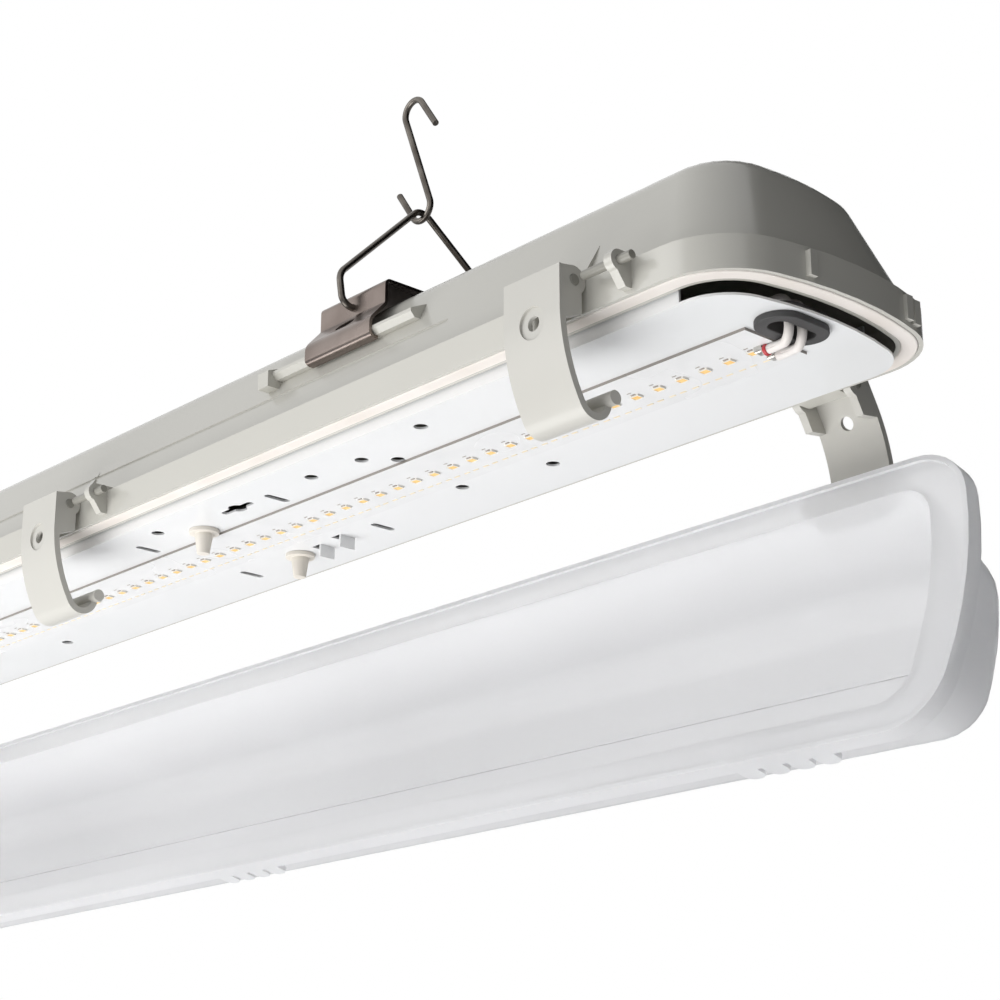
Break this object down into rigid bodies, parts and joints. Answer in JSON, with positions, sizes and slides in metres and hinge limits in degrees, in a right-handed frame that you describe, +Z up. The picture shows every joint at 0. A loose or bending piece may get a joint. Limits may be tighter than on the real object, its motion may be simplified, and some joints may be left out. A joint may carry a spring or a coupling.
{
  "type": "vapor tight light fixture",
  "caption": "Long sealed light fixture: grey shell, gasket, white gear tray with LED boards, hinged hook latches, frosted lens hung open, wire hangers.",
  "frame": {"origin": "midway between the two bracket screw holes, on the plane that meets the ceiling", "axes": "+X along the fixture away from the cable gland, +Y towards the side the lens hangs on, +Z up into the ceiling"},
  "size_m": [1.2846, 0.1618, 0.2751],
  "materials": {
    "housing_grey": "satin moulded warm grey",
    "latch_grey": "satin moulded warm grey",
    "pin_grey": "satin grey",
    "gasket_cream": "soft foamed cream",
    "tray_white": "gloss white paint",
    "plug_white": "moulded off-white",
    "board_white": "white solder mask",
    "led_yellow": "yellow phosphor",
    "connector_white": "moulded white",
    "wire_white": "smooth insulation",
    "grommet_black": "matt",
    "driver_white": "moulded case",
    "solder_steel": "bright solder",
    "screw_steel": "zinc plated",
    "gland_grey": "moulded nylon",
    "bracket_steel": "stainless sheet",
    "hook_steel": "drawn wire",
    "lens_frosted": "frosted white"
  },
  "bodies": {
    "housing": {"housing": "housing_grey", "gasket": "gasket_cream", "gear_tray": "tray_white", "led_board_near": "board_white", "led_board_far": "board_white", "leds_near": "led_yellow", "leds_far": "led_yellow", "board_link": "connector_white", "solder_joints": "solder_steel", "wire_grommet": "grommet_black", "lead_wire_1": "wire_white", "lead_wire_2": "wire_white", "driver": "driver_white", "driver_screws": "screw_steel", "terminal_block": "connector_white", "supply_wire_1": "wire_white", "supply_wire_2": "wire_white", "ground_screw": "screw_steel", "gland_body": "gland_grey", "gland_locknut": "gland_grey", "gland_cap": "gland_grey", "gland_seal": "grommet_black", "bracket_near": "bracket_steel", "bracket_far": "bracket_steel", "front_hinge_pins": "pin_grey", "back_hinge_pins": "pin_grey", "keeper_pins": "pin_grey", "tray_plug_1": "plug_white", "tray_plug_2": "plug_white", "tray_plug_3": "plug_white", "tray_plug_4": "plug_white"},
    "lens": {"lens": "lens_frosted"},
    "v_hook_near": {"v_hook_near": "hook_steel"},
    "v_hook_far": {"v_hook_far": "hook_steel"},
    "s_hook_near": {"s_hook_near": "hook_steel"},
    "s_hook_far": {"s_hook_far": "hook_steel"},
    "latch_front_1": {"latch_front_1": "latch_grey"},
    "latch_front_2": {"latch_front_2": "latch_grey"},
    "latch_front_3": {"latch_front_3": "latch_grey"},
    "latch_front_4": {"latch_front_4": "latch_grey"},
    "latch_front_5": {"latch_front_5": "latch_grey"},
    "latch_back_1": {"latch_back_1": "latch_grey"},
    "latch_back_2": {"latch_back_2": "latch_grey"},
    "latch_back_3": {"latch_back_3": "latch_grey"}
  },
  "joints": [
    {"name": "latch_front_1_hinge", "type": "hinge", "parent": "housing", "child": "latch_front_1", "pos_m": [0.562, -0.0575, -0.0444], "axis": [-1, 0, 0], "range_deg": [0, 80]},
    {"name": "latch_front_2_hinge", "type": "hinge", "parent": "housing", "child": "latch_front_2", "pos_m": [0.281, -0.0575, -0.0444], "axis": [-1, 0, 0], "range_deg": [0, 80]},
    {"name": "latch_front_3_hinge", "type": "hinge", "parent": "housing", "child": "latch_front_3", "pos_m": [0, -0.0575, -0.0444], "axis": [-1, 0, 0], "range_deg": [0, 80]},
    {"name": "latch_front_4_hinge", "type": "hinge", "parent": "housing", "child": "latch_front_4", "pos_m": [-0.281, -0.0575, -0.0444], "axis": [-1, 0, 0], "range_deg": [0, 80]},
    {"name": "latch_front_5_hinge", "type": "hinge", "parent": "housing", "child": "latch_front_5", "pos_m": [-0.562, -0.0575, -0.0444], "axis": [-1, 0, 0], "range_deg": [0, 80]},
    {"name": "latch_back_1_hinge", "type": "hinge", "parent": "housing", "child": "latch_back_1", "pos_m": [0.5755, 0.0575, -0.0506], "axis": [1, 0, 0], "range_deg": [-10, 30]},
    {"name": "latch_back_2_hinge", "type": "hinge", "parent": "housing", "child": "latch_back_2", "pos_m": [0, 0.0575, -0.0506], "axis": [1, 0, 0], "range_deg": [-10, 30]},
    {"name": "latch_back_3_hinge", "type": "hinge", "parent": "housing", "child": "latch_back_3", "pos_m": [-0.5755, 0.0575, -0.0506], "axis": [1, 0, 0], "range_deg": [-10, 30]},
    {"name": "lens_swing", "type": "hinge", "parent": "latch_back_2", "child": "lens", "pos_m": [0, 0.06288, -0.08769], "axis": [-1, 0, 0], "range_deg": [-15, 15]},
    {"name": "v_hook_near_fold", "type": "hinge", "parent": "housing", "child": "v_hook_near", "pos_m": [0.444, 0, -0.0056], "axis": [0, 1, 0], "range_deg": [-40, 40]},
    {"name": "s_hook_near_swing", "type": "hinge", "parent": "v_hook_near", "child": "s_hook_near", "pos_m": [0.43435, 0, 0.0475], "axis": [0, 1, 0], "range_deg": [-60, 60]},
    {"name": "v_hook_far_fold", "type": "hinge", "parent": "housing", "child": "v_hook_far", "pos_m": [-0.444, 0, -0.0056], "axis": [0, 1, 0], "range_deg": [-40, 40]},
    {"name": "s_hook_far_swing", "type": "hinge", "parent": "v_hook_far", "child": "s_hook_far", "pos_m": [-0.43435, 0, 0.0475], "axis": [0, 1, 0], "range_deg": [-60, 60]}
  ],
  "couplings": [
    {"joint": "latch_back_1_hinge", "follows": "latch_back_2_hinge", "ratio": 1},
    {"joint": "latch_back_3_hinge", "follows": "latch_back_2_hinge", "ratio": 1}
  ]
}
